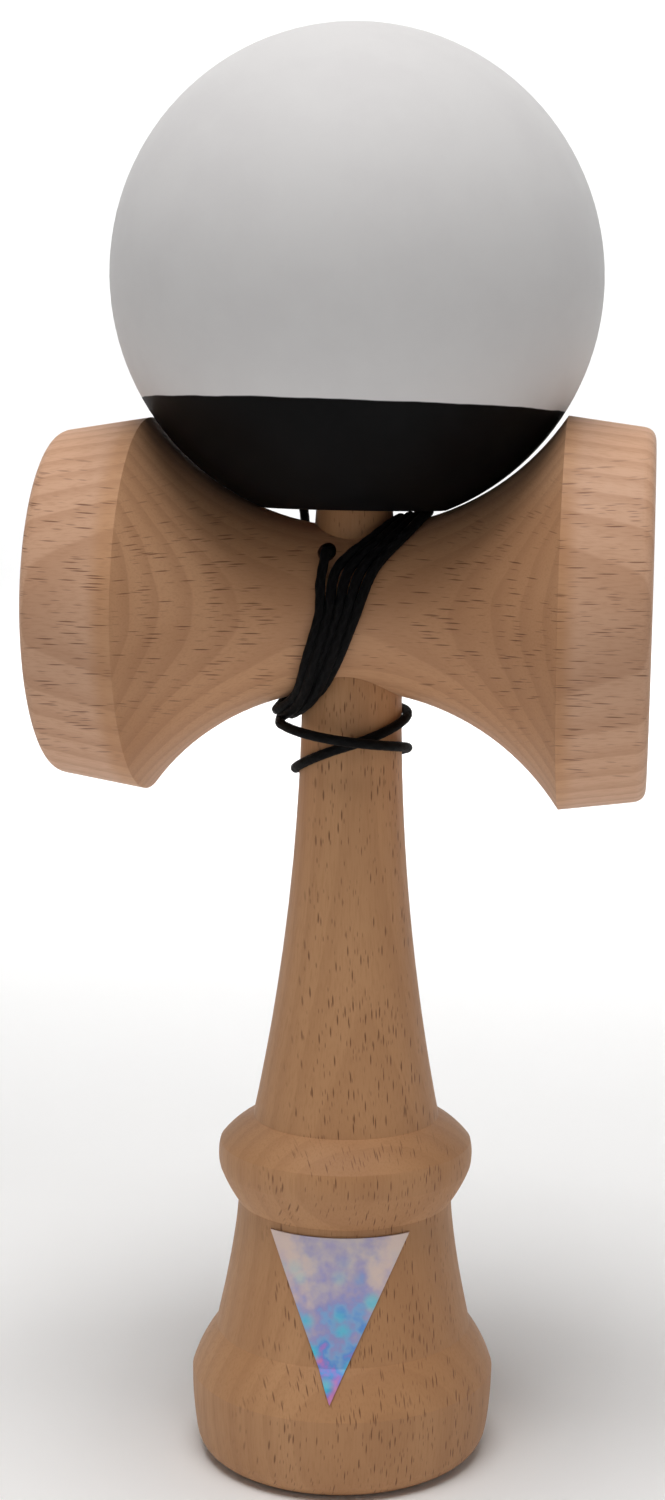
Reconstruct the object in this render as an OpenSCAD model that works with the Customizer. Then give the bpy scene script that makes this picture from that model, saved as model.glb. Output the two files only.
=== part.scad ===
// Kendama: a turned ken with a crosspiece of two cups, and a drilled ball that is tied to it by one string.
// Millimetres. Z is the axis of the ken, X the axis of the crosspiece, and the origin is the centre of the foot.

/* [Ken] */
// Diameter of the base at its widest line
base_d = 38.6; // [36:0.2:44]
// Height of the widest line of the base
base_belly_h = 10.7; // [8:0.1:12]
// Height of the corner between the base and the waist
base_h = 16.4; // [14.5:0.1:19]
// Outer diameter of the foot that the base stands on
foot_d = 31.4; // [30:0.2:33]
// Mouth diameter of the cup under the base
base_cup_d = 27.4; // [22:0.2:28.6]
// Depth of the cup under the base
base_cup_depth = 5.8; // [5:0.1:6.4]
// Diameter of the waist just above the base
waist_low_d = 32.6; // [30:0.2:34]
// Diameter of the waist just below the ring
waist_top_d = 27.2; // [25:0.2:29]
// Diameter of the ring above the waist
ring_d = 32.4; // [30:0.2:36]
// Height of the lower corner of the ring
ring_low_h = 32.9; // [30:0.1:36]
// Height of the upper corner of the ring
ring_top_h = 43.8; // [42:0.1:47]
// Diameter of the stem just above the ring
stem_low_d = 23.6; // [22:0.2:26]
// Diameter of the stem where it enters the crosspiece
stem_top_d = 12.5; // [12:0.1:13.5]
// Diameter of the spike where it leaves the crosspiece
spike_d = 9.8; // [9:0.1:10.4]
// Length of the spike above the crosspiece
spike_l = 32.6; // [28:0.1:34]

/* [Crosspiece] */
// Height of the axis of the crosspiece above the foot
sarado_h = 108.2; // [104:0.1:112]
// Length of the crosspiece over both cups
sarado_l = 73.6; // [70:0.2:80]
// Diameter of the crosspiece at its waist
sarado_waist_d = 20.2; // [19:0.1:22]
// Radius of the flare that runs from the waist to both ridges
flare_r = 31.3; // [30:0.1:34]
// Diameter of the ridge round the big cup
big_ridge_d = 48.3; // [46:0.1:50]
// Diameter of the ridge round the small cup
small_ridge_d = 46.2; // [44:0.1:48]
// Diameter of the big cup's end before its edge is rounded
big_rim_d = 45.5; // [43:0.1:46.5]
// Diameter of the small cup's end before its edge is rounded
small_rim_d = 42.4; // [40.4:0.1:44]
// Mouth diameter of the big cup
big_cup_d = 40.4; // [36:0.2:41]
// Depth of the big cup
big_cup_depth = 8; // [6:0.1:9]
// Mouth diameter of the small cup
small_cup_d = 36.8; // [32:0.2:37.4]
// Depth of the small cup
small_cup_depth = 6.6; // [5.5:0.1:8]
// Rounding of the outer edge of both rims
rim_round = 1.4; // [0.6:0.1:1.6]

/* [Tama] */
// Diameter of the ball
tama_d = 60; // [58:0.5:66]
// Mouth diameter of the tapered hole that the spike goes into
hole_d = 22.6; // [22:0.1:24]
// Diameter of the tapered hole at its inner end
hole_end_d = 10; // [9.2:0.1:12]
// Depth of the tapered hole from its mouth
hole_depth = 41.5; // [40:0.1:43]
// Diameter of the string hole in the top of the ball
string_hole_d = 3.2; // [2.6:0.1:4]
// Diameter of the countersunk mouth of the string hole
string_mouth_d = 10; // [9:0.2:12]
// Depth of the countersunk mouth
string_mouth_depth = 3.9; // [3:0.1:5]
// Diameter of the bead that holds the string inside the ball
bead_d = 8; // [7:0.1:8.6]
// Diameter of the hole through the bead
bead_hole_d = 2; // [1.8:0.1:2.6]

/* [String] */
// Diameter of the string
string_d = 1.1; // [0.9:0.05:1.2]
// Distance between two turns of the string along the crosspiece
turn_pitch = 1.9; // [1.85:0.05:2.2]
// Diameter of a knot in the string
knot_d = 3.2; // [2.6:0.1:3.6]
// Length of a knot in the string
knot_l = 2.6; // [2:0.1:2.8]
// Distance of the string hole of the ken to the left of its axis
ken_hole_x = 2.4; // [1.6:0.1:2.6]
// Height of the string hole of the ken above the axis of the crosspiece
ken_hole_rise = 7.2; // [6.6:0.1:7.6]
// Diameter of the string hole of the ken
ken_hole_d = 2.2; // [1.8:0.1:2.4]

/* [Sticker] */
// Width of the three-cornered foil sticker along its top edge
sticker_w = 17.5; // [12:0.1:20]
// Height of the sticker from its top edge to its tip
sticker_h = 19.7; // [12:0.1:20.5]
// Distance of the sticker's top edge below the ring
sticker_drop = 0.5; // [0.3:0.1:3]
// Distance of the sticker's middle to the right of the ken's axis
sticker_x = 0.8; // [-2:0.1:2]
// Thickness of the foil
foil_t = 0.2; // [0.15:0.05:0.3]

/* [Hidden] */

// Smoothness of round surfaces, and how many points a curved stretch of an outline gets
$fn = 128;
edge_steps = 8;
long_steps = 18;

// One overrun serves all cuts
overrun = 1;

// Clearances: the taper of the crosspiece on the ken, the ball above its seat, the string above what it lies on,
// a strand of the string that lies over another, a knot or the bead in its seat, and the foil above the wood
seat_gap = 0.1;
rest_gap = 0.1;
string_gap = 0.3;
over_gap = 0.5;
knot_gap = 0.1;
foil_gap = 0.05;

// Radii that several pieces share
base_r = base_d / 2;
foot_r = foot_d / 2;
base_cup_r = base_cup_d / 2;
waist_low_r = waist_low_d / 2;
waist_top_r = waist_top_d / 2;
ring_r = ring_d / 2;
stem_low_r = stem_low_d / 2;
stem_top_r = stem_top_d / 2;
spike_r = spike_d / 2;
sarado_waist_r = sarado_waist_d / 2;
tama_r = tama_d / 2;
hole_r = hole_d / 2;
hole_end_r = hole_end_d / 2;
string_hole_r = string_hole_d / 2;
string_mouth_r = string_mouth_d / 2;
bead_r = bead_d / 2;
string_r = string_d / 2;
knot_r = knot_d / 2;

// Base outline: where its side starts above the foot, and how far each stretch bows out of its chord
base_side_share = 0.97;
base_edge_share = 0.3;
foot_bow = 0.8;
side_bow = 0.15;
shoulder_bow = 0.3;

// Ring outline: where its crown starts and ends between both corners, and how far each stretch bows out
crown_low_share = 0.4;
crown_top_share = 0.7;
crown_r_share = 0.985;
crown_bow = 0.2;
ring_low_bow = 0.15;
ring_top_bow = 0.3;

// How strongly the waist and the stem curve inwards between their ends
waist_power = 1.4;
stem_power = 2;

// The spike ends in a rounded tip, as long as this share of its width there
tip_share = 0.8;

// The rounded edge of a rim bows out by this share of its rounding
rim_bow_share = 0.29;

// Points of a spherical dish, from the axis outwards and without the rim: height is measured from the rim inwards
function dish_r(mouth_r, depth) = (mouth_r * mouth_r + depth * depth) / (2 * depth);
function dish(mouth_r, depth) = let (r = dish_r(mouth_r, depth))
    [for (i = [0 : long_steps - 1]) let (x = mouth_r * i / long_steps) [x, depth - r + sqrt(r * r - x * x)]];

// Points of a stretch that bows out of the chord from p to q, without its end point
function bow(p, q, sag) = let (d = q - p, out = [d[1], -d[0]] / norm(d))
    [for (i = [0 : edge_steps - 1]) let (t = i / edge_steps) p + d * t + out * (4 * sag * t * (1 - t))];

// Radius of a stretch that narrows from a low end to a top end, and its points without the end point
function narrowing(z, low, top, power) =
    top[0] + (low[0] - top[0]) * pow(max(0, (top[1] - z) / (top[1] - low[1])), power);
function narrowing_points(low, top, power) =
    [for (i = [0 : long_steps - 1]) let (z = low[1] + (top[1] - low[1]) * i / long_steps)
        [narrowing(z, low, top, power), z]];

function unit(v) = v / norm(v);
function ease(t) = let (c = min(1, max(0, t))) c * c * (3 - 2 * c);
function reversed(list) = [for (i = [len(list) - 1 : -1 : 0]) list[i]];

// Corners of the ken's outline as radius and height
foot_edge = [foot_r, 0];
base_side = [base_r * base_side_share, base_belly_h * base_edge_share];
base_belly = [base_r, base_belly_h];
waist_low = [waist_low_r, base_h];
waist_top = [waist_top_r, ring_low_h];
ring_h = ring_top_h - ring_low_h;
crown_low = [ring_r * crown_r_share, ring_low_h + ring_h * crown_low_share];
crown_top = [ring_r * crown_r_share, ring_low_h + ring_h * crown_top_share];
stem_low = [stem_low_r, ring_top_h];
seat_z = sarado_h - sarado_waist_r;
stem_top = [stem_top_r, seat_z];

// The seat and the spike are one straight taper from the underside of the crosspiece to the tip
spike_slope = (stem_top_r - spike_r) / sarado_waist_d;
spike_tip_z = seat_z + sarado_waist_d + spike_l;
function taper_r(z) = stem_top_r - spike_slope * (z - seat_z);
tip_h = taper_r(spike_tip_z) * tip_share;
tip_low = [taper_r(spike_tip_z - tip_h), spike_tip_z - tip_h];
tip_bow = tip_low[0] * rim_bow_share;

waist_outline = concat(
    bow(base_belly, waist_low, shoulder_bow),
    narrowing_points(waist_low, waist_top, waist_power));

ken_outline = concat(
    dish(base_cup_r, base_cup_depth),
    [[base_cup_r, 0]],
    bow(foot_edge, base_side, foot_bow),
    bow(base_side, base_belly, side_bow),
    waist_outline,
    bow(waist_top, crown_low, ring_low_bow),
    bow(crown_low, crown_top, crown_bow),
    bow(crown_top, stem_low, ring_top_bow),
    narrowing_points(stem_low, stem_top, stem_power),
    [stem_top],
    bow(tip_low, [0, spike_tip_z], tip_bow),
    [[0, spike_tip_z]]);

// Surface radius of the stem below the crosspiece, and of the flare at a distance from its waist
function stem_r(z) = narrowing(z, stem_low, stem_top, stem_power);
function flare_surface_r(x) = sarado_waist_r + flare_r - sqrt(flare_r * flare_r - x * x);

// A ridge stands where the flare has grown to the ridge's radius
function ridge_x(ridge_r) = sqrt(pow(flare_r, 2) - pow(sarado_waist_r + flare_r - ridge_r, 2));
sarado_end = sarado_l / 2;

// One end of the crosspiece from its ridge to the axis, as radius and distance from the waist.
// The taper outside the ridge starts an overrun inside the flare, which cuts it back.
function cup_end(ridge_d, rim_d, cup_d, depth) = let (
    ridge = [ridge_d / 2, ridge_x(ridge_d / 2)],
    rim = [rim_d / 2, sarado_end],
    slope = (ridge[0] - rim[0]) / (rim[1] - ridge[1]),
    round_start = [rim[0] + slope * rim_round, sarado_end - rim_round],
    round_end = [rim[0] - rim_round, sarado_end],
    hollow = [for (p = dish(cup_d / 2, depth)) [p[0], sarado_end - p[1]]])
    concat(
        [[ridge[0] + slope * overrun, ridge[1] - overrun]],
        bow(round_start, round_end, rim_bow_share * rim_round),
        [round_end, [cup_d / 2, sarado_end]],
        reversed(hollow));

big_end = cup_end(big_ridge_d, big_rim_d, big_cup_d, big_cup_depth);
small_end = [for (p = cup_end(small_ridge_d, small_rim_d, small_cup_d, small_cup_depth)) [p[0], -p[1]]];

// The ball stands with the mouth of its hole on the saddle of the crosspiece
hole_mouth_z = sarado_h + flare_surface_r(hole_r) + rest_gap;
tama_z = hole_mouth_z + sqrt(tama_r * tama_r - hole_r * hole_r);
hole_slope = (hole_r - hole_end_r) / hole_depth;
hole_end_z = hole_mouth_z + hole_depth;
string_lip_z = tama_z + sqrt(tama_r * tama_r - string_mouth_r * string_mouth_r);
string_mouth_slope = (string_mouth_r - string_hole_r) / string_mouth_depth;

// The drilled end of the hole is a cone, which the bead is drawn up against
drill_angle = 59;
drill_apex_z = hole_end_z + hole_end_r / tan(drill_angle);
bead_z = drill_apex_z - (bead_r + knot_gap) / sin(drill_angle);
bead_knot_z = bead_z - bead_r - knot_gap;

// The ken's string hole runs along Y, and its knot sits in a counterbore at the back of the crosspiece
ken_hole_z = sarado_h + ken_hole_rise;
ken_hole_surface_y = sqrt(pow(flare_surface_r(ken_hole_x), 2) - ken_hole_rise * ken_hole_rise);
knot_sink = 1.2;
knot_seat_y = ken_hole_surface_y - knot_sink;
knot_face_share = 0.7;

// Winding: angle 0 is on top of the crosspiece, 90 in front, 180 below and 270 behind it.
// The strands pass to the right of the spike on top and to the left of the stem below, which sets their swing.
wind_turns = 3.5;
wind_end_angle = 360 * wind_turns;
right_of_spike = taper_r(sarado_h + sarado_waist_r) + string_r + string_gap;
left_of_stem = stem_top_r + string_r + string_gap;
wind_swing = (right_of_spike + left_of_stem + turn_pitch * (wind_turns - 1)) / 2;
wind_mid_x = right_of_spike - wind_swing - turn_pitch;

// The first strand leaves the ken's string hole to the left of the others and joins their slant lower down
wind_start_angle = 62;
wind_join_angle = 125;

// The strands swing from side to side in an even slant with rounded turning points
wave_share = 0.98;
function wave(a) = asin(wave_share * cos(a)) / asin(wave_share);
function wave_slant(a) = -wave_share * sin(a) / sqrt(1 - pow(wave_share * cos(a), 2)) / asin(wave_share);

function strand_r(x) = flare_surface_r(x) + string_r + string_gap;
function strand_x(a) = wind_mid_x + wind_swing * wave(a) + turn_pitch * a / 360;
function strand_slant(a) = turn_pitch / 360 + wind_swing * wave_slant(a);
function strand_at(x, a) = [x, -strand_r(x) * sin(a), sarado_h + strand_r(x) * cos(a)];

// The string runs straight out of the hole to a knee, where it bends into the slant of the winding
knee_turn = (ken_hole_rise - strand_r(ken_hole_x) * cos(wind_start_angle))
    / (strand_r(ken_hole_x) * sin(wind_start_angle)) * 180 / PI;
start_x = -ken_hole_x + strand_slant(wind_start_angle) * knee_turn;
start_shift = start_x - strand_x(wind_start_angle);
start_point = strand_at(start_x, wind_start_angle);
knee = [-ken_hole_x, start_point[1] + strand_r(start_x) * cos(wind_start_angle) * knee_turn * PI / 180, ken_hole_z];
hole_exit = [-ken_hole_x, -ken_hole_surface_y, ken_hole_z];

function turn_point(a) = strand_at(
    strand_x(a) + start_shift * (1 - ease((a - wind_start_angle) / (wind_join_angle - wind_start_angle))), a);

// Route of the string's free stretch: under the crosspiece, up behind it, up the back of the ball and into its top
lead_route = [
    [-9.1, 1.1, 94.3], [-9.1, 2.2, 94.3], [-8.8, 4.8, 95.0], [-8.0, 8.8, 97.5], [-7.0, 11.1, 100.1],
    [-6.0, 12.6, 102.2], [-7.0, 14.8, 107.8], [-8.1, 17.0, 113.5], [-9.1, 19.2, 119.3], [-10.2, 21.4, 125.1],
    [-11.2, 23.5, 130.8], [-12.3, 25.7, 136.5], [-13.0, 27.3, 142.5], [-13.3, 27.9, 148.5],
    [-13.1, 27.5, 154.0], [-12.5, 26.2, 159.1], [-11.5, 24.1, 164.0], [-10.1, 21.3, 168.4],
    [-7.6, 16.0, 173.8], [-4.5, 9.6, 177.5], [-2.8, 5.9, 178.7], [-2.1, 4.3, 178.8], [-1.4, 3.0, 178.4],
    [-0.9, 2.0, 177.2], [-0.6, 1.3, 175.8], [-0.3, 0.7, 174.4], [-0.1, 0.3, 172.8], [0, 0, 171.0],
    [0, 0, 167.5], [0, 0, 164.0], [0, 0, 160.5]];

// Two turns round the stem follow: drops below the axis of the crosspiece, one for each quarter turn.
// Quarter 0 is left of the stem, 1 behind it, 2 right of it and 3 in front of it.
stem_turns = 2;
wrap_end_angle = 360 * stem_turns;
wrap_first_drop = strand_r(left_of_stem);
wrap_drops = concat(
    [wrap_first_drop],
    [12.2, 12.9, 15.7, 18.2, 17.7, 16.2, 14.7],
    [sarado_h - lead_route[0][2]]);

// The last half turn climbs over the first one to the start of the free stretch
over_start_angle = 525;
over_end_angle = 630;
wrap_end_r = -lead_route[0][0];

function drop_before(i) = wrap_drops[i == 0 ? 1 : i - 1];
function drop_after(i) = wrap_drops[i == len(wrap_drops) - 1 ? i - 1 : i + 1];
function drop_slope(i) = (drop_after(i) - drop_before(i)) / 2;
function wrap_drop(q) = let (i = min(floor(q), len(wrap_drops) - 2), t = q - i)
    wrap_drops[i] + ease(t) * (wrap_drops[i + 1] - wrap_drops[i])
    + t * (1 - t) * ((1 - t) * drop_slope(i) - t * drop_slope(i + 1));
function wrap_point(a) = let (
    z = sarado_h - wrap_drop(a / 90),
    inner_r = stem_r(z) + string_r + string_gap,
    r = inner_r + (wrap_end_r - inner_r) * ease((a - over_start_angle) / (over_end_angle - over_start_angle)))
    [-r * cos(a), r * sin(a), z];

// The whole wound stretch, from the knot at the back of the ken to the start of the free stretch,
// with the given count of points in a loop
function curve_point(p, q, r, t) = p * pow(1 - t, 2) + q * 2 * t * (1 - t) + r * pow(t, 2);
bore_steps = 4;
knee_steps = 6;
function winding_path(loop) = let (
    step = 360 / loop,
    bore_start = [-ken_hole_x, knot_seat_y + knot_gap, ken_hole_z],
    first = ceil(wind_start_angle / step) + 1)
    concat(
        [bore_start],
        [for (i = [0 : bore_steps - 1])
            let (p = bore_start - [0, string_d, 0]) p + (hole_exit - p) * i / bore_steps],
        [for (i = [0 : knee_steps]) curve_point(hole_exit, knee, start_point, i / knee_steps)],
        [for (i = [first : wind_end_angle / step]) turn_point(i * step)],
        [for (i = [1 : wrap_end_angle / step]) wrap_point(i * step)],
        [lead_route[0]]);

// Least gap of the winding to itself: points closer along the string than a quarter loop are neighbours
loop_rings = 24;
gap_loop = 2 * loop_rings;
gap_path = winding_path(gap_loop);
winding_gap = min([for (i = [0 : len(gap_path) - 1])
    for (j = [i + gap_loop / 4 : 1 : len(gap_path) - 1]) norm(gap_path[i] - gap_path[j])]) - string_d;
echo(str("least gap of the winding to itself: ", winding_gap, " mm"));

// Points of the free stretch, with one point halfway between two of its route, down to the bead's knot
lead_ends = concat(lead_route, [[0, 0, bead_knot_z + string_d], [0, 0, bead_knot_z]]);
function route_slope(route, i) = (route[min(i + 1, len(route) - 1)] - route[max(i - 1, 0)]) / 2;
function halfway(route, i) = (route[i] + route[i + 1]) / 2 + (route_slope(route, i) - route_slope(route, i + 1)) / 8;
lead_path = concat(
    [lead_ends[0]],
    [for (i = [1 : len(lead_ends) - 3]) each [lead_ends[i], halfway(lead_ends, i)]],
    [lead_ends[len(lead_ends) - 2], lead_ends[len(lead_ends) - 1]]);

// A tube swept along a path: its rings turn as little as the path allows
function path_tangents(path) = [for (i = [0 : len(path) - 1])
    unit(path[min(i + 1, len(path) - 1)] - path[max(i - 1, 0)])];
function squared_to(v, t) = unit(v - t * (v * t));
function ring_normals(tangents, start) = [for (
    i = 0, n = squared_to(start, tangents[0]);
    i < len(tangents);
    i = i + 1, n = i < len(tangents) ? squared_to(n, tangents[i]) : n) n];

module tube(path, r, sides, start) {
    tangents = path_tangents(path);
    normals = ring_normals(tangents, start);
    points = [for (i = [0 : len(path) - 1]) for (k = [0 : sides - 1])
        let (a = 360 * k / sides) path[i] + r * (cos(a) * normals[i] + sin(a) * cross(tangents[i], normals[i]))];
    last = (len(path) - 1) * sides;
    walls = [for (i = [0 : len(path) - 2]) for (k = [0 : sides - 1]) let (
        a = i * sides + k,
        b = i * sides + (k + 1) % sides)
        each [[a, b + sides, b], [a, a + sides, b + sides]]];
    ends = [for (k = [1 : sides - 2]) each [[0, k, k + 1], [last, last + k + 1, last + k]]];
    polyhedron(points = points, faces = concat(walls, ends), convexity = 10);
}

// A drawn-tight knot as a barrel with flat ends, standing on its lower face
module knot() {
    face_r = knot_r * knot_face_share;
    rotate_extrude() polygon(concat(
        [[0, 0]],
        bow([face_r, 0], [face_r, knot_l], knot_r - face_r),
        [[face_r, knot_l], [0, knot_l]]));
}

// The straight hole for the string through the crosspiece and the ken, along Y
module ken_string_hole() {
    hole_l = 2 * (sarado_waist_r + overrun);
    translate([-ken_hole_x, hole_l / 2, ken_hole_z]) rotate([90, 0, 0]) cylinder(d = ken_hole_d, h = hole_l);
}

module ken() {
    color("burlywood") difference() {
        rotate_extrude() polygon(ken_outline);
        ken_string_hole();
    }
}

module sarado() {
    bore_low_z = seat_z - overrun;
    bore_h = sarado_waist_d + 2 * overrun;
    color("tan") difference() {
        translate([0, 0, sarado_h]) rotate([0, 90, 0]) rotate_extrude() difference() {
            polygon(concat(reversed(small_end), big_end));
            translate([sarado_waist_r + flare_r, 0]) circle(r = flare_r);
        }
        translate([0, 0, bore_low_z]) cylinder(
            r1 = taper_r(bore_low_z) + seat_gap, r2 = taper_r(bore_low_z + bore_h) + seat_gap, h = bore_h);
        ken_string_hole();
        translate([-ken_hole_x, knot_seat_y, ken_hole_z]) rotate([-90, 0, 0])
            cylinder(r = knot_r + knot_gap, h = sarado_waist_r);
    }
}

module tama() {
    mouth_low_z = string_lip_z - string_mouth_depth;
    color("whitesmoke") difference() {
        translate([0, 0, tama_z]) sphere(r = tama_r);
        translate([0, 0, hole_mouth_z - tama_r]) cylinder(
            r1 = hole_r + hole_slope * tama_r, r2 = hole_end_r, h = tama_r + hole_depth);
        translate([0, 0, hole_end_z]) cylinder(r1 = hole_end_r, r2 = 0, h = drill_apex_z - hole_end_z);
        translate([0, 0, hole_end_z]) cylinder(r = string_hole_r, h = tama_r);
        translate([0, 0, mouth_low_z]) cylinder(
            r1 = string_hole_r, r2 = string_mouth_r + string_mouth_slope * overrun, h = string_mouth_depth + overrun);
    }
}

module bead() {
    color("peru") difference() {
        translate([0, 0, bead_z]) sphere(r = bead_r);
        translate([0, 0, bead_z - bead_d / 2 - overrun]) cylinder(d = bead_hole_d, h = bead_d + 2 * overrun);
    }
}

module bead_knot() {
    color("black") translate([0, 0, bead_knot_z - knot_l]) knot();
}

module ken_knot() {
    color("black") translate([-ken_hole_x, knot_seat_y + knot_gap, ken_hole_z]) rotate([-90, 0, 0]) knot();
}

module string_winding() {
    color("black") tube(winding_path(loop_rings), string_r, 6, [0, 0, 1]);
}

module string_lead() {
    color("black") tube(lead_path, string_r, 8, [1, 0, 0]);
}

// A skin that follows the waist and the shoulder of the base, cut to three corners from the front
module sticker() {
    top_z = ring_low_h - sticker_drop;
    inner = [for (p = waist_outline) p + [foil_gap, 0]];
    outer = [for (p = waist_outline) p + [foil_gap + foil_t, 0]];
    color("thistle") intersection() {
        rotate_extrude() polygon(concat(outer, reversed(inner)));
        translate([sticker_x, 0, 0]) rotate([90, 0, 0]) linear_extrude(height = base_d)
            polygon([[-sticker_w / 2, top_z], [0, top_z - sticker_h], [sticker_w / 2, top_z]]);
    }
}

ken();
sarado();
tama();
bead();
bead_knot();
ken_knot();
string_winding();
string_lead();
sticker();
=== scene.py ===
"""Looks of the kendama: beech, satin two-tone ball, wound black string and foil sticker, on a pale floor.

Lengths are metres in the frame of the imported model: Z along the ken, X along the crosspiece to the big cup.
"""
import math

import bpy
import numpy as np
from mathutils import Matrix, Vector


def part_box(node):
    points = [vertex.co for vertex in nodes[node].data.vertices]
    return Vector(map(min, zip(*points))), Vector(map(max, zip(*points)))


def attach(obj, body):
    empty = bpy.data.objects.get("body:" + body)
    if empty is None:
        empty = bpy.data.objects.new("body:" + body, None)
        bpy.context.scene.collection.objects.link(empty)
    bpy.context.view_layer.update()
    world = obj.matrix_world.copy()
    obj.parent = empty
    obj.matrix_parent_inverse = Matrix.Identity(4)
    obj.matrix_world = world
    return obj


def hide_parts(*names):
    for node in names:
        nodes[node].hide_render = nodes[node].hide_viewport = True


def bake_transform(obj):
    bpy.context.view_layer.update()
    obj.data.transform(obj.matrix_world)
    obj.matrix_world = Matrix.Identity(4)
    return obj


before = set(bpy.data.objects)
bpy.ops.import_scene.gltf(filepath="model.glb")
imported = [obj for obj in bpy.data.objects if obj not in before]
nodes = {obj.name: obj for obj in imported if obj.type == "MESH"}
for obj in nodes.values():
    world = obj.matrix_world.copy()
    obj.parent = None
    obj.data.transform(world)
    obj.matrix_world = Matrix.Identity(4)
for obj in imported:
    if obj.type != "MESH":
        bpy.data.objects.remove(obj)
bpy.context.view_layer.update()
scene = bpy.context.scene

# Sizes that the looks share with the model
sarado_low, sarado_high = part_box("sarado")
tama_low, tama_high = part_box("tama")
SARADO_Z = (sarado_low.z + sarado_high.z) / 2
TAMA_R = (tama_high.x - tama_low.x) / 2
STRING_MOUTH_R = 0.005
TAMA_Z = tama_high.z - math.sqrt(TAMA_R**2 - STRING_MOUTH_R**2)
SARADO_WAIST_R = 0.0101
FLARE_R = 0.0313
STEM_R = 0.00625
STRING_D = 0.0012
STRING_R = STRING_D / 2


# Camera

PHOTO_W = 665
PHOTO_H = 1500
SENSOR = 36.0
CAMERA_PLACE = Vector((0.0344, -0.2749, 0.126))
CAMERA_AIM = Vector((0.0102, 0.0, 0.0908))
CAMERA_ROLL = math.radians(1.08)
FOCAL_PX = 2230
OPTICAL_CENTRE_X_PX = 432.5
CAMERA_CLIP = 0.01


def make_camera():
    """The photograph's optical centre lies to the right of its middle, hence the small shift."""
    data = bpy.data.cameras.new("camera")
    data.sensor_fit = "AUTO"
    data.sensor_width = SENSOR
    data.lens = FOCAL_PX / PHOTO_H * SENSOR
    data.shift_x = (PHOTO_W / 2 - OPTICAL_CENTRE_X_PX) / PHOTO_H
    data.clip_start = CAMERA_CLIP
    camera = bpy.data.objects.new("camera", data)
    scene.collection.objects.link(camera)
    look = (CAMERA_AIM - CAMERA_PLACE).to_track_quat("-Z", "Y").to_matrix()
    turn = look @ Matrix.Rotation(CAMERA_ROLL, 3, "Z")
    camera.matrix_world = Matrix.Translation(CAMERA_PLACE) @ turn.to_4x4()
    scene.camera = camera


make_camera()


# Curves and cords

CURVE_SAMPLES = 24
ODD_DIRECTION = (0.3, 0.5, 0.8)


def smooth_path(points, spacing):
    """Points every spacing along a smooth curve through the given points."""
    p = np.array(points, float)
    ends = np.vstack([2 * p[0] - p[1], p, 2 * p[-1] - p[-2]])
    a, b, c, d = ends[:-3], ends[1:-2], ends[2:-1], ends[3:]
    t = np.linspace(0, 1, CURVE_SAMPLES, endpoint=False)[None, :, None]
    a, b, c, d = (q[:, None, :] for q in (a, b, c, d))
    curve = 0.5 * (2 * b + (c - a) * t + (2 * a - 5 * b + 4 * c - d) * t**2 + (3 * b - a - 3 * c + d) * t**3)
    curve = np.vstack([curve.reshape(-1, 3), p[-1:]])
    steps = np.linalg.norm(np.diff(curve, axis=0), axis=1)
    along = np.concatenate([[0], np.cumsum(steps)])
    places = np.linspace(0, along[-1], int(along[-1] / spacing) + 1)
    return np.stack([np.interp(places, along, curve[:, i]) for i in range(3)], 1)


def ring_frames(path):
    """The two directions across the path at each of its points, turning as little as the path allows.

    The first one starts square to the path and to a direction that no stretch of string begins in.
    """
    tangents = np.gradient(path, axis=0)
    tangents /= np.linalg.norm(tangents, axis=1)[:, None]
    first = np.cross(tangents[0], ODD_DIRECTION)
    normals = [first / np.linalg.norm(first)]
    for t in tangents[1:]:
        n = normals[-1] - t * np.dot(normals[-1], t)
        normals.append(n / np.linalg.norm(n))
    normals = np.array(normals)
    return normals, np.cross(tangents, normals)


BRAID_SIDES = 16
BRAID_STEP = 0.00022
BRAID_LAY = 0.0021
BRAID_STRANDS = 4
BRAID_DEPTH_SHARE = 0.13


def braided_cord(name, points):
    """A cord of braided strands along the points, as one closed mesh, and the path of its middle.

    An attribute keeps how far each point stands out of the braid.
    """
    path = smooth_path(points, BRAID_STEP)
    across, up = ring_frames(path)
    angle = np.linspace(0, 2 * math.pi, BRAID_SIDES, endpoint=False)
    along = np.arange(len(path)) * BRAID_STEP * 2 * math.pi / BRAID_LAY
    left = np.abs(np.cos((BRAID_STRANDS * angle[None, :] + along[:, None]) / 2))
    right = np.abs(np.cos((BRAID_STRANDS * angle[None, :] - along[:, None]) / 2))
    height = np.maximum(left, right)
    radius = STRING_R * (1 + BRAID_DEPTH_SHARE * (height - height.mean()))
    ring = np.cos(angle)[None, :, None] * across[:, None] + np.sin(angle)[None, :, None] * up[:, None]
    verts = (path[:, None] + radius[..., None] * ring).reshape(-1, 3)
    faces = []
    for i in range(len(path) - 1):
        for k in range(BRAID_SIDES):
            a = i * BRAID_SIDES + k
            b = i * BRAID_SIDES + (k + 1) % BRAID_SIDES
            faces.append((a, b, b + BRAID_SIDES, a + BRAID_SIDES))
    faces.append(tuple(reversed(range(BRAID_SIDES))))
    last = (len(path) - 1) * BRAID_SIDES
    faces.append(tuple(range(last, last + BRAID_SIDES)))
    mesh = bpy.data.meshes.new(name)
    mesh.from_pydata(verts.tolist(), [], faces)
    mesh.shade_smooth()
    depth = mesh.attributes.new("braid_height", "FLOAT", "POINT")
    depth.data.foreach_set("value", height.astype(np.float32).reshape(-1))
    piece = bpy.data.objects.new(name, mesh)
    scene.collection.objects.link(piece)
    return piece, path


# String: one length from the knot behind the ken to the knot under the bead

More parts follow.
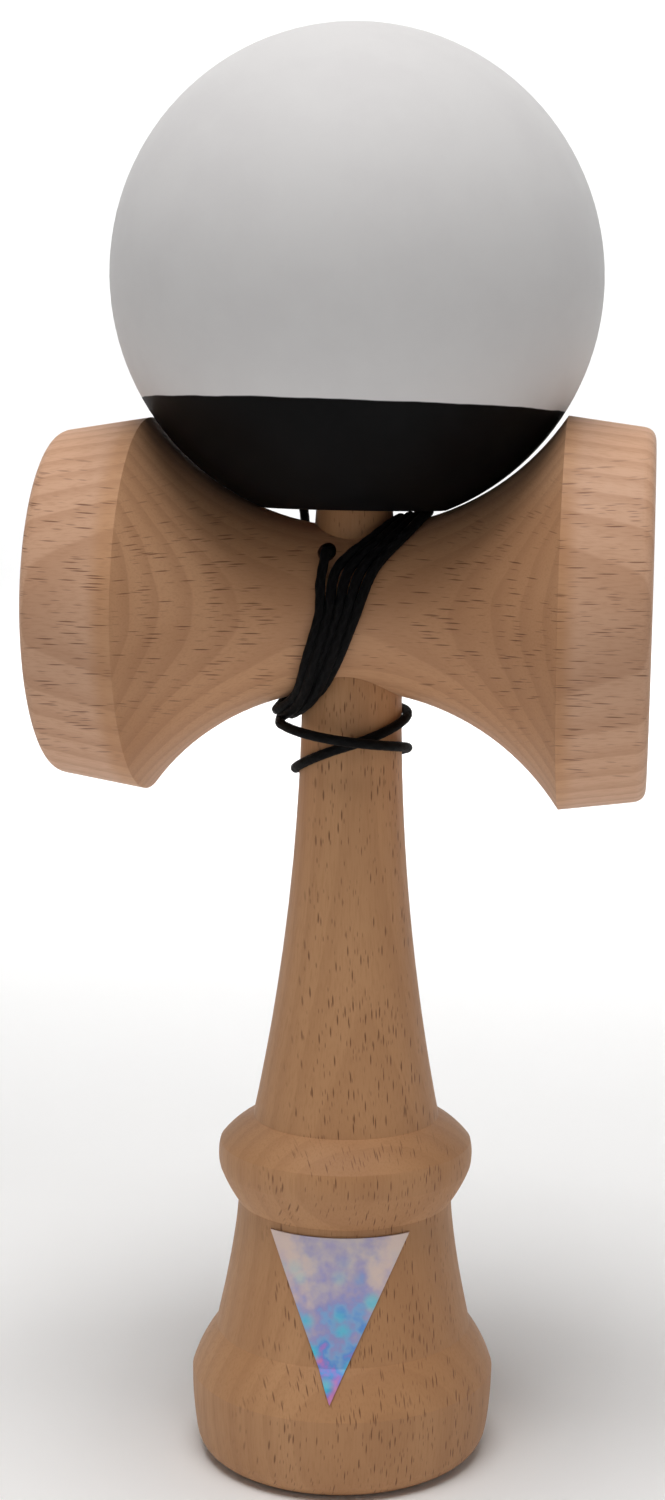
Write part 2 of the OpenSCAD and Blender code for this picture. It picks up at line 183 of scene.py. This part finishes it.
# Route of the free stretch: under the crosspiece, up behind it, up the back of the ball and into its top
LEAD_ROUTE = [
    (-0.0091, 0.0011, 0.0943), (-0.0091, 0.0022, 0.0943), (-0.0088, 0.0048, 0.0950),
    (-0.0080, 0.0088, 0.0975), (-0.0070, 0.0111, 0.1001), (-0.0060, 0.0126, 0.1022),
    (-0.0070, 0.0148, 0.1078), (-0.0081, 0.0170, 0.1135), (-0.0091, 0.0192, 0.1193),
    (-0.0102, 0.0214, 0.1251), (-0.0112, 0.0235, 0.1308), (-0.0123, 0.0257, 0.1365),
    (-0.0130, 0.0273, 0.1425), (-0.0133, 0.0279, 0.1485), (-0.0131, 0.0275, 0.1540),
    (-0.0125, 0.0262, 0.1591), (-0.0115, 0.0241, 0.1640), (-0.0101, 0.0213, 0.1684),
    (-0.0076, 0.0160, 0.1738), (-0.0045, 0.0096, 0.1775), (-0.0028, 0.0059, 0.1787),
    (-0.0021, 0.0043, 0.1788), (-0.0014, 0.0030, 0.1784), (-0.0009, 0.0020, 0.1772),
    (-0.0006, 0.0013, 0.1758), (-0.0003, 0.0007, 0.1744), (-0.0001, 0.0003, 0.1728),
    (0, 0, 0.1710), (0, 0, 0.1675), (0, 0, 0.1640), (0, 0, 0.1605)]
BEAD_KNOT_TOP_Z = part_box("bead_knot")[1].z
KEN_KNOT_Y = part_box("ken_knot")[0].y

# The ken's string hole runs along Y, and the string leaves it in front
KEN_HOLE_X = -0.0024
KEN_HOLE_RISE = 0.0072
KEN_HOLE_Z = SARADO_Z + KEN_HOLE_RISE
KEN_HOLE_REACH = 0.0072
KEN_HOLE_POINTS = 7
KNEE_DROP = STRING_R / 4

# Winding: angle 0 is on top of the crosspiece, 90 in front, 180 below and 270 behind it.
# For every 30 degrees, one list has the first strand's place along X and one the distance to the next strand.
# Below the crosspiece the strands crowd against the stem, where they stand off the wood and every other one
# lies over its neighbours.
TURN_X = [
    0.0046, 0.0021, -0.0026, -0.0030, -0.0047, -0.0065, -0.0098, -0.0089, -0.0064, -0.0036, -0.0006, 0.0024]
TURN_PITCH = [
    0.00115, 0.00135, 0.00152, 0.0011, 0.00095, 0.0007, 0.0006, 0.0007, 0.00095, 0.00115, 0.00125, 0.0012]
TURN_LIST_STEP = 30
TURN_STEP = 10
TURN_START = 62
TURN_END = 1620
CROWD_LIFT = 0.0006
OVER_LIFT = 0.0010
LIE_GAP = 0.0001

# Two turns round the stem, as drops below the crosspiece's axis at each quarter turn, from the left over the
# back
WRAP_DROPS = [0.0122, 0.0124, 0.0131, 0.0165, 0.0202, 0.0192, 0.0172, 0.0155, 0.0139]
WRAP_END = 720
OVER_START = 525
OVER_END = 630


def ease(t):
    """0 up to t = 0, 1 from t = 1 on, and smooth in between."""
    c = min(1.0, max(0.0, t))
    return c * c * (3 - 2 * c)


def cubic_through(values, place, loops):
    """Value of a smooth curve through evenly spaced values at a place counted in values."""
    n = len(values)
    i = int(math.floor(place))
    t = place - i
    if loops:
        a, b, c, d = (values[(i + k) % n] for k in (-1, 0, 1, 2))
    else:
        a, b, c, d = (values[min(max(i + k, 0), n - 1)] for k in (-1, 0, 1, 2))
    return 0.5 * (2 * b + (c - a) * t + (2 * a - 5 * b + 4 * c - d) * t**2 + (3 * b - a - 3 * c + d) * t**3)


def flare_surface(x):
    """Radius of the crosspiece at a place along it, near its waist."""
    return SARADO_WAIST_R + FLARE_R - math.sqrt(FLARE_R**2 - x * x)


def turn_point(angle):
    """A point of the winding on the crosspiece."""
    a = math.radians(angle)
    crowding = max(0.0, -math.cos(a))
    pitch = cubic_through(TURN_PITCH, angle / TURN_LIST_STEP, True)
    x = cubic_through(TURN_X, angle / TURN_LIST_STEP, True) + pitch * angle / 360
    lies_over = angle // 360 % 2 == 1
    lift = crowding * (CROWD_LIFT + (OVER_LIFT if lies_over else 0.0))
    r = flare_surface(x) + STRING_R + LIE_GAP + lift
    return (x, -r * math.sin(a), SARADO_Z + r * math.cos(a))


def wrap_point(angle):
    """A point of the turns round the stem: the last half turn lies over the first one."""
    inner = STEM_R + STRING_R + LIE_GAP
    outer = -LEAD_ROUTE[0][0]
    r = inner + (outer - inner) * ease((angle - OVER_START) / (OVER_END - OVER_START))
    a = math.radians(angle)
    return (-r * math.cos(a), r * math.sin(a), SARADO_Z - cubic_through(WRAP_DROPS, angle / 90, False))


def string_points():
    """The whole string: through the ken's hole, round the crosspiece, round the stem and up to the bead."""
    hole_y = np.linspace(KEN_KNOT_Y, -KEN_HOLE_REACH, KEN_HOLE_POINTS)
    hole = [(KEN_HOLE_X, y, KEN_HOLE_Z) for y in hole_y]
    knee = [(KEN_HOLE_X, -KEN_HOLE_REACH - STRING_D, KEN_HOLE_Z - KNEE_DROP)]
    first = TURN_START + TURN_STEP - TURN_START % TURN_STEP
    turns = [turn_point(a) for a in range(first, TURN_END + 1, TURN_STEP)]
    wraps = [wrap_point(a) for a in range(TURN_STEP, WRAP_END - TURN_STEP, TURN_STEP)]
    return hole + knee + turns + wraps + LEAD_ROUTE + [(0, 0, BEAD_KNOT_TOP_Z)]


string, string_path = braided_cord("string", string_points())


KNOT_POINTS = 61
KNOT_SIZE = (0.0034, 0.0034, 0.0027)


def overhand_knot(name, centre, turn):
    """A drawn-tight overhand knot: a three-lobed closed path of cord, squeezed into the size of the knot."""
    t = np.linspace(0, 2 * math.pi, KNOT_POINTS)
    loop = np.stack([
        np.sin(t) + 2 * np.sin(2 * t),
        np.cos(t) - 2 * np.cos(2 * t),
        -np.sin(3 * t)], 1)
    reach = np.abs(loop).max(axis=0)
    loop = loop / reach * (np.array(KNOT_SIZE) / 2 - STRING_R)
    points = [turn @ Vector(p) + centre for p in loop]
    return braided_cord(name, points)[0]


def box_centre(name):
    low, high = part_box(name)
    return (low + high) / 2


along_y = Matrix.Rotation(math.radians(90), 3, "X")
ken_knot = overhand_knot("tied_ken_knot", box_centre("ken_knot"), along_y)
bead_knot = overhand_knot("tied_bead_knot", box_centre("bead_knot"), Matrix.Identity(3))
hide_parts("ken_knot")
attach(ken_knot, "ken")
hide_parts("bead_knot")
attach(bead_knot, "bead")
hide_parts("string_winding", "string_lead")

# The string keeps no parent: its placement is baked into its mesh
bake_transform(string)


# Materials

class Finish:
    """A Principled material whose nodes are added by short calls."""

    def __init__(self, name):
        self.material = bpy.data.materials.new(name)
        self.material.use_nodes = True
        self.tree = self.material.node_tree
        self.shader = self.tree.nodes["Principled BSDF"]

    def put(self, socket, value):
        if isinstance(value, bpy.types.NodeSocket):
            self.tree.links.new(value, socket)
        else:
            socket.default_value = value

    def node(self, kind, inputs, **settings):
        made = self.tree.nodes.new(kind)
        for key, value in settings.items():
            setattr(made, key, value)
        for key, value in inputs.items():
            self.put(made.inputs[key], value)
        return made

    def maths(self, operation, a, b=0.0, c=0.0):
        made = self.node("ShaderNodeMath", {0: a, 1: b, 2: c}, operation=operation)
        return made.outputs[0]

    def mix(self, factor, a, b, blend="MIX"):
        made = self.node("ShaderNodeMix", {0: factor, 6: a, 7: b}, data_type="RGBA", blend_type=blend)
        return made.outputs[2]

    def noise(self, vector, scale, detail=2.0, rough=0.5):
        made = self.node(
            "ShaderNodeTexNoise", {"Vector": vector, "Scale": scale, "Detail": detail, "Roughness": rough})
        return made.outputs["Fac"]

    def fade(self, value, low, high, start=0.0, end=1.0):
        made = self.node("ShaderNodeMapRange", {0: value, 1: low, 2: high, 3: start, 4: end})
        made.interpolation_type = "SMOOTHSTEP"
        return made.outputs[0]

    def place(self):
        return self.node("ShaderNodeTexCoord", {}).outputs["Object"]

    def split(self, vector):
        return self.node("ShaderNodeSeparateXYZ", {0: vector}).outputs

    def join(self, x, y, z):
        return self.node("ShaderNodeCombineXYZ", {0: x, 1: y, 2: z}).outputs[0]

    def drawn_noise(self, side, rise, along, scales, detail, rough=0.5):
        """Noise drawn out along the grain, with one scale across it and one along it."""
        across_scale, along_scale = scales
        spot = self.join(
            self.maths("MULTIPLY", side, across_scale), self.maths("MULTIPLY", rise, across_scale),
            self.maths("MULTIPLY", along, along_scale))
        return self.noise(spot, 1.0, detail, rough)

    def bump(self, height, strength, distance):
        made = self.node("ShaderNodeBump", {"Height": height, "Strength": strength, "Distance": distance})
        self.put(self.shader.inputs["Normal"], made.outputs[0])

    def finish(self, **inputs):
        for key, value in inputs.items():
            self.put(self.shader.inputs[key.replace("_", " ")], value)
        return self.material


BEECH_LIGHT = (0.555, 0.306, 0.152, 1)
BEECH_DEEP = (0.465, 0.238, 0.108, 1)
BEECH_RING = (0.345, 0.161, 0.069, 1)
BEECH_FLECK = (0.13, 0.045, 0.017, 1)
# Paler colour that both ends of the crosspiece turn to
BEECH_PALE_END = (0.60, 0.365, 0.225, 1)
PALE_END_EDGE = 0.0012
PALE_END_SHARE = 0.75
BUMP_DEPTH = 0.0001

# Scales of the noise across and along the grain
WANDER_SCALES = (28, 7)
FIBRE_SCALES = (4200, 170)
PATCH_SCALES = (60, 18)
FIBRE_SHARE = 0.27

# A growth ring darkens over most of its width and turns pale again at once
RING_STEP = 0.0027
RING_WANDER = 0.009
LATE_SHARES = (0.35, 0.98)
EARLY_SHARE = 0.08

# The flecks are rays cut across: sheets that stand along the grain and run deep towards the pith
PITH_REACH = 0.08
RAY_DEPTH = 0.005
RAY_SCATTER_SHARE = 0.8
RAY_FACING_SHARES = (0.15, 0.75)
FLECK_WIDTH = 0.00042
FLECK_CORE_SHARE = 0.35
LONG_REACH_SHARE = 0.27
LONG_LEFT_OUT_SHARE = 0.1
LONG_DARK_SHARE = 0.8
SHORT_WIDTH_SHARE = 0.8
SHORT_LENGTH_SHARE = 0.55
SHORT_REACH_SHARE = 0.26
SHORT_LEFT_OUT_SHARE = 0.2
SHORT_DARK_SHARE = 0.5


def beech(name, grain, tint, pith, ring_share, fleck_length, pale_from=None):
    """Beech turned from one billet: growth rings round a distant pith, and short dark flecks along the grain.

    Past the last argument's distance along the grain, both ends are paler.
    """
    f = Finish(name)
    x, y, z = f.split(f.place())
    side, rise, along = (y, z, x) if grain == "X" else (x, y, z)
    wander = f.drawn_noise(side, rise, along, WANDER_SCALES, 3.0)
    off_side = f.maths("SUBTRACT", side, pith[0])
    off_rise = f.maths("SUBTRACT", rise, pith[1])
    from_pith = f.node(
        "ShaderNodeVectorMath", {0: f.join(off_side, off_rise, 0.0)}, operation="LENGTH").outputs["Value"]
    round_pith = f.maths("MULTIPLY", f.maths("ARCTAN2", off_side, off_rise), PITH_REACH)
    rings = f.maths("DIVIDE", f.maths("MULTIPLY_ADD", wander, RING_WANDER, from_pith), RING_STEP)
    late = f.fade(f.maths("FRACT", rings), *LATE_SHARES)
    early = f.fade(f.maths("FRACT", rings), 0.0, EARLY_SHARE, 1.0, 0.0)
    ring = f.maths("MAXIMUM", late, early)

    across, above, lengthways = f.split(f.node("ShaderNodeTexCoord", {}).outputs["Normal"])
    face_side, face_rise = (above, lengthways) if grain == "X" else (across, above)
    outwards = f.maths("MULTIPLY_ADD", face_side, off_side, f.maths("MULTIPLY", face_rise, off_rise))
    facing = f.maths("ABSOLUTE", f.maths("DIVIDE", outwards, from_pith))
    ray_ends = f.fade(facing, *RAY_FACING_SHARES)

    def flecks(width, length, reach, left_out):
        core = reach * FLECK_CORE_SHARE
        spot = f.join(
            f.maths("DIVIDE", round_pith, width), f.maths("DIVIDE", from_pith, RAY_DEPTH),
            f.maths("DIVIDE", along, length))
        cells = f.node(
            "ShaderNodeTexVoronoi", {"Vector": spot, "Scale": 1.0, "Randomness": RAY_SCATTER_SHARE})
        kept = f.maths("GREATER_THAN", f.split(cells.outputs["Color"])[0], left_out)
        spots = f.maths("MULTIPLY", f.fade(cells.outputs["Distance"], core, reach, 1.0, 0.0), kept)
        return f.maths("MULTIPLY", spots, ray_ends)

    long_flecks = flecks(FLECK_WIDTH, fleck_length, LONG_REACH_SHARE, LONG_LEFT_OUT_SHARE)
    short_flecks = flecks(
        FLECK_WIDTH * SHORT_WIDTH_SHARE, fleck_length * SHORT_LENGTH_SHARE, SHORT_REACH_SHARE,
        SHORT_LEFT_OUT_SHARE)
    fibre = f.drawn_noise(side, rise, along, FIBRE_SCALES, 3.0, 0.6)
    patch = f.drawn_noise(side, rise, along, PATCH_SCALES, 2.0)
    tone = f.mix(f.fade(patch, 0.3, 0.72), BEECH_LIGHT, BEECH_DEEP)
    # Both ends turn paler past the given distance along the grain
    if pale_from:
        edge = (pale_from - PALE_END_EDGE, pale_from + PALE_END_EDGE)
        pale_end = f.fade(f.maths("ABSOLUTE", along), *edge, 0.0, PALE_END_SHARE)
        tone = f.mix(pale_end, tone, BEECH_PALE_END)
    tone = f.mix(f.maths("MULTIPLY", ring, ring_share), tone, BEECH_RING)
    tone = f.mix(f.maths("MULTIPLY", f.fade(fibre, 0.42, 0.75), FIBRE_SHARE), tone, BEECH_RING)
    tone = f.mix(f.maths("MULTIPLY", long_flecks, LONG_DARK_SHARE), tone, BEECH_FLECK)
    tone = f.mix(f.maths("MULTIPLY", short_flecks, SHORT_DARK_SHARE), tone, BEECH_FLECK)
    tone = f.mix(1.0, tone, tint, "MULTIPLY")
    pores = f.maths("ADD", f.maths("MULTIPLY", long_flecks, LONG_DARK_SHARE),
                    f.maths("MULTIPLY", short_flecks, SHORT_DARK_SHARE))
    height = f.maths("SUBTRACT", f.maths("MULTIPLY", fibre, 0.35), pores)
    f.bump(height, 0.22, BUMP_DEPTH)
    return f.finish(
        Base_Color=tone, Roughness=f.fade(fibre, 0.2, 0.8, 0.5, 0.68), Specular_IOR_Level=0.35,
        Sheen_Weight=0.05, Sheen_Roughness=0.5)


BALL_WHITE = (0.745, 0.735, 0.735, 1)
BALL_WHITE_DULL = (0.72, 0.708, 0.71, 1)
BALL_BLACK = (0.003, 0.003, 0.0033, 1)
BALL_BLACK_WORN = (0.0055, 0.0055, 0.006, 1)
BALL_INSIDE = (0.36, 0.21, 0.12, 1)
BALL_INSIDE_DEEP = (0.24, 0.13, 0.07, 1)
BAND_DROP = 0.0150
BAND_SLOPE = 0.0157
BAND_EDGE = 0.00007
BAND_RIPPLE = 0.00025
BARE_FROM = 0.0004
BARE_FULLY = 0.0012
BARE_SCALES = (2600, 180)


def ball_paint():
    """Satin paint, dipped in black below a nearly level line. The drilled holes stay bare wood."""
    f = Finish("ball_paint")
    spot = f.place()
    x, y, z = f.split(spot)
    ripple = f.maths("MULTIPLY", f.noise(spot, 260.0, 1.0), BAND_RIPPLE)
    level = f.maths("ADD", f.maths("MULTIPLY_ADD", x, BAND_SLOPE, z), ripple)
    line = TAMA_Z - BAND_DROP
    black = f.fade(level, line - BAND_EDGE, line + BAND_EDGE, 1.0, 0.0)
    mottle = f.noise(spot, 85.0, 4.0, 0.6)
    specks = f.noise(spot, 1500.0, 2.0)
    white = f.mix(f.fade(mottle, 0.35, 0.7), BALL_WHITE, BALL_WHITE_DULL)
    dark = f.mix(f.fade(mottle, 0.4, 0.75), BALL_BLACK, BALL_BLACK_WORN)
    tone = f.mix(black, white, dark)
    from_middle = f.node(
        "ShaderNodeVectorMath", {0: spot, 1: (0, 0, TAMA_Z)}, operation="DISTANCE").outputs["Value"]
    inside = f.fade(from_middle, TAMA_R - BARE_FULLY, TAMA_R - BARE_FROM, 1.0, 0.0)
    fibre = f.drawn_noise(x, y, z, BARE_SCALES, 3.0, 0.6)
    tone = f.mix(inside, tone, f.mix(f.fade(fibre, 0.35, 0.7), BALL_INSIDE, BALL_INSIDE_DEEP))
    rough = f.maths("ADD", f.fade(mottle, 0.3, 0.7, 0.50, 0.58), f.maths("MULTIPLY", black, -0.04))
    f.bump(f.maths("ADD", specks, f.maths("MULTIPLY", mottle, 0.5)), 0.06, BUMP_DEPTH)
    return f.finish(Base_Color=tone, Roughness=rough, Specular_IOR_Level=0.06)


# Painted shade in the braid's valleys, and the cord's own black on its crowns
CORD_VALLEY_SHADE = (0.0010, 0.0010, 0.0012, 1)
CORD_CROWN = (0.0042, 0.0041, 0.0044, 1)
CORD_LINT = (0.011, 0.0105, 0.0115, 1)
LINT_DEPTH = 0.00008


def cord_fibre():
    """Black braided cord with some lint, and painted shade: the valleys of the braid are darker than its
    crowns.
    """
    f = Finish("string_black")
    height = f.node("ShaderNodeAttribute", {}, attribute_name="braid_height").outputs["Fac"]
    spot = f.place()
    lint = f.noise(spot, 5200.0, 3.0, 0.7)
    # Painted shade: darker where the braid sinks into its valleys
    tone = f.mix(f.fade(height, 0.72, 1.0), CORD_VALLEY_SHADE, CORD_CROWN)
    tone = f.mix(f.maths("MULTIPLY", f.fade(lint, 0.55, 0.8), 0.3), tone, CORD_LINT)
    f.bump(lint, 0.5, LINT_DEPTH)
    return f.finish(
        Base_Color=tone, Roughness=f.fade(lint, 0.3, 0.7, 0.62, 0.82), Specular_IOR_Level=0.12,
        Sheen_Weight=0.02, Sheen_Roughness=0.4)


STICKER_LOW, STICKER_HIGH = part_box("sticker")
# Painted reflection: iridescent tints up the sticker, from its tip at the bottom to its top
FOIL_REFLECTION_TINTS = [
    (0.0, (0.70, 0.28, 0.58, 1)), (0.10, (0.42, 0.26, 0.74, 1)), (0.22, (0.14, 0.36, 0.82, 1)),
    (0.36, (0.26, 0.48, 0.80, 1)), (0.52, (0.36, 0.37, 0.70, 1)), (0.68, (0.47, 0.42, 0.64, 1)),
    (0.84, (0.57, 0.51, 0.62, 1)), (1.0, (0.66, 0.58, 0.60, 1))]
FOIL_GLINT_CYAN = (0.08, 0.72, 0.86, 1)
FOIL_EDGE_REFLECTION_PEACH = (0.86, 0.66, 0.56, 1)


def foil():
    """Foil with painted reflection: iridescent colours from silver and lilac through blue to a pink tip, warm
    edges and cyan glints, over a crinkle.
    """
    f = Finish("foil")
    spot = f.place()
    x, _, z = f.split(spot)
    warp = f.noise(spot, 330.0, 3.0, 0.55)
    soft = f.noise(spot, 420.0, 2.0)
    rise = f.maths("DIVIDE", f.maths("SUBTRACT", z, STICKER_LOW.z), STICKER_HIGH.z - STICKER_LOW.z)
    # Painted reflection: the iridescent tint changes up the sticker
    ramp = f.node("ShaderNodeValToRGB", {0: f.maths("ADD", rise, f.fade(warp, 0.25, 0.75, -0.3, 0.3))})
    first, last = ramp.color_ramp.elements
    first.position, first.color = FOIL_REFLECTION_TINTS[0]
    last.position, last.color = FOIL_REFLECTION_TINTS[-1]
    for position, color in FOIL_REFLECTION_TINTS[1:-1]:
        ramp.color_ramp.elements.new(position).color = color
    half_w = (STICKER_HIGH.x - STICKER_LOW.x) / 2
    middle_x = (STICKER_HIGH.x + STICKER_LOW.x) / 2
    aside = f.maths("DIVIDE", f.maths("SUBTRACT", x, middle_x), half_w)
    # Painted reflection: warm tints towards both side edges
    warm_edge_reflection = f.maths("MULTIPLY", f.fade(f.maths("ADD", f.maths("ABSOLUTE", aside), warp), 0.8, 1.3), 0.7)
    # Painted glints: cyan spots, fading out towards the top
    glints = f.node("ShaderNodeTexVoronoi", {"Vector": spot, "Scale": 330.0}, feature="F1")
    glint = f.fade(glints.outputs["Distance"], 0.12, 0.5, 0.85, 0.0)
    glint_share = f.maths("MULTIPLY", glint, f.fade(rise, 0.95, 0.45))
    tone = f.mix(warm_edge_reflection, ramp.outputs[0], FOIL_EDGE_REFLECTION_PEACH)
    tone = f.mix(glint_share, tone, FOIL_GLINT_CYAN)
    crinkle = f.node("ShaderNodeTexVoronoi", {"Vector": spot, "Scale": 900.0}, feature="SMOOTH_F1")
    f.bump(f.maths("ADD", crinkle.outputs["Distance"], soft), 0.4, BUMP_DEPTH)
    return f.finish(Base_Color=tone, Metallic=0.3, Roughness=f.fade(soft, 0.3, 0.7, 0.36, 0.5))


def dress(piece, material):
    piece.data.materials.clear()
    piece.data.materials.append(material)


KEN_PITH = (0.034, -0.085)
SARADO_PITH = (-0.09, SARADO_Z)
BEAD_PITH = (-0.03, 0.02)
KEN_TINT = (1.0, 0.97, 0.93, 1)
SARADO_TINT = (1.1, 1.1, 1.19, 1)
KEN_RING_SHARE = 0.2
SARADO_RING_SHARE = 0.32
KEN_FLECK_LENGTH = 0.0034
SARADO_FLECK_LENGTH = 0.0062
SARADO_PALE_FROM = 0.0275
dress(nodes["ken"], beech("beech_ken", "Z", KEN_TINT, KEN_PITH, KEN_RING_SHARE, KEN_FLECK_LENGTH))
dress(nodes["sarado"], beech(
    "beech_sarado", "X", SARADO_TINT, SARADO_PITH, SARADO_RING_SHARE, SARADO_FLECK_LENGTH, SARADO_PALE_FROM))
dress(nodes["bead"], beech("beech_bead", "Z", KEN_TINT, BEAD_PITH, KEN_RING_SHARE, KEN_FLECK_LENGTH))
dress(nodes["tama"], ball_paint())
dress(nodes["sticker"], foil())
string_finish = cord_fibre()
for piece in (string, ken_knot, bead_knot):
    dress(piece, string_finish)


# Floor and light

FLOOR_R = 2.0
BACKDROP_R = 0.6
BACKDROP_H = 2.4
FLOOR_SIDES = 96
CURVE_STEPS = 16
FLOOR_PALE = (0.96, 0.96, 0.96, 1)
FLOOR_PALER = (0.98, 0.98, 0.98, 1)


def make_floor():
    """A round pale floor that curves up into a backdrop on all sides."""
    profile = [(FLOOR_R, 0.0)]
    for i in range(1, CURVE_STEPS + 1):
        a = math.radians(90 * i / CURVE_STEPS)
        profile.append((FLOOR_R + BACKDROP_R * math.sin(a), BACKDROP_R * (1 - math.cos(a))))
    profile.append((FLOOR_R + BACKDROP_R, BACKDROP_H))
    verts = [(0.0, 0.0, 0.0)]
    for r, z in profile:
        for k in range(FLOOR_SIDES):
            a = 2 * math.pi * k / FLOOR_SIDES
            verts.append((r * math.cos(a), r * math.sin(a), z))
    faces = [(0, 1 + k, 1 + (k + 1) % FLOOR_SIDES) for k in range(FLOOR_SIDES)]
    for i in range(len(profile) - 1):
        for k in range(FLOOR_SIDES):
            low = 1 + i * FLOOR_SIDES
            high = low + FLOOR_SIDES
            following = (k + 1) % FLOOR_SIDES
            faces.append((low + k, high + k, high + following, low + following))
    mesh = bpy.data.meshes.new("floor")
    mesh.from_pydata(verts, [], faces)
    mesh.shade_smooth()
    floor = bpy.data.objects.new("floor", mesh)
    scene.collection.objects.link(floor)
    f = Finish("floor_paint")
    grain = f.noise(f.place(), 30.0, 3.0)
    tone = f.mix(grain, FLOOR_PALE, FLOOR_PALER)
    dress(floor, f.finish(Base_Color=tone, Roughness=0.8, Specular_IOR_Level=0.2))


def make_light(name, place, aim, size, watts, tint):
    data = bpy.data.lights.new(name, "AREA")
    data.shape = "DISK"
    data.size = size
    data.energy = watts
    data.color = tint
    light = bpy.data.objects.new(name, data)
    light.location = place
    light.rotation_euler = (Vector(aim) - Vector(place)).to_track_quat("-Z", "Y").to_euler()
    scene.collection.objects.link(light)


OBJECT_MIDDLE = (0, 0, 0.1)
OVERHEAD_PLACE = (-0.02, -0.2, 1.1)
OVERHEAD_SIZE = 0.65
OVERHEAD_WATTS = 9.7
OVERHEAD_TINT = (1.0, 0.99, 0.98)
BACKDROP_LIGHT_PLACE = (-0.12, 0.6, 1.2)
BACKDROP_LIGHT_AIM = (-0.05, 2.4, 0.45)
BACKDROP_LIGHT_SIZE = 0.9
BACKDROP_LIGHT_WATTS = 30
BACKDROP_LIGHT_TINT = (1.0, 1.0, 1.0)
ROOM_TINT = (1.0, 1.0, 1.0, 1)
ROOM_STRENGTH = 0.02
make_floor()
make_light("overhead", OVERHEAD_PLACE, OBJECT_MIDDLE, OVERHEAD_SIZE, OVERHEAD_WATTS, OVERHEAD_TINT)
make_light(
    "backdrop", BACKDROP_LIGHT_PLACE, BACKDROP_LIGHT_AIM, BACKDROP_LIGHT_SIZE, BACKDROP_LIGHT_WATTS,
    BACKDROP_LIGHT_TINT)
world = bpy.data.worlds.new("studio")
world.use_nodes = True
room = world.node_tree.nodes["Background"].inputs
room["Color"].default_value = ROOM_TINT
room["Strength"].default_value = ROOM_STRENGTH
scene.world = world
scene.view_settings.view_transform = "Standard"
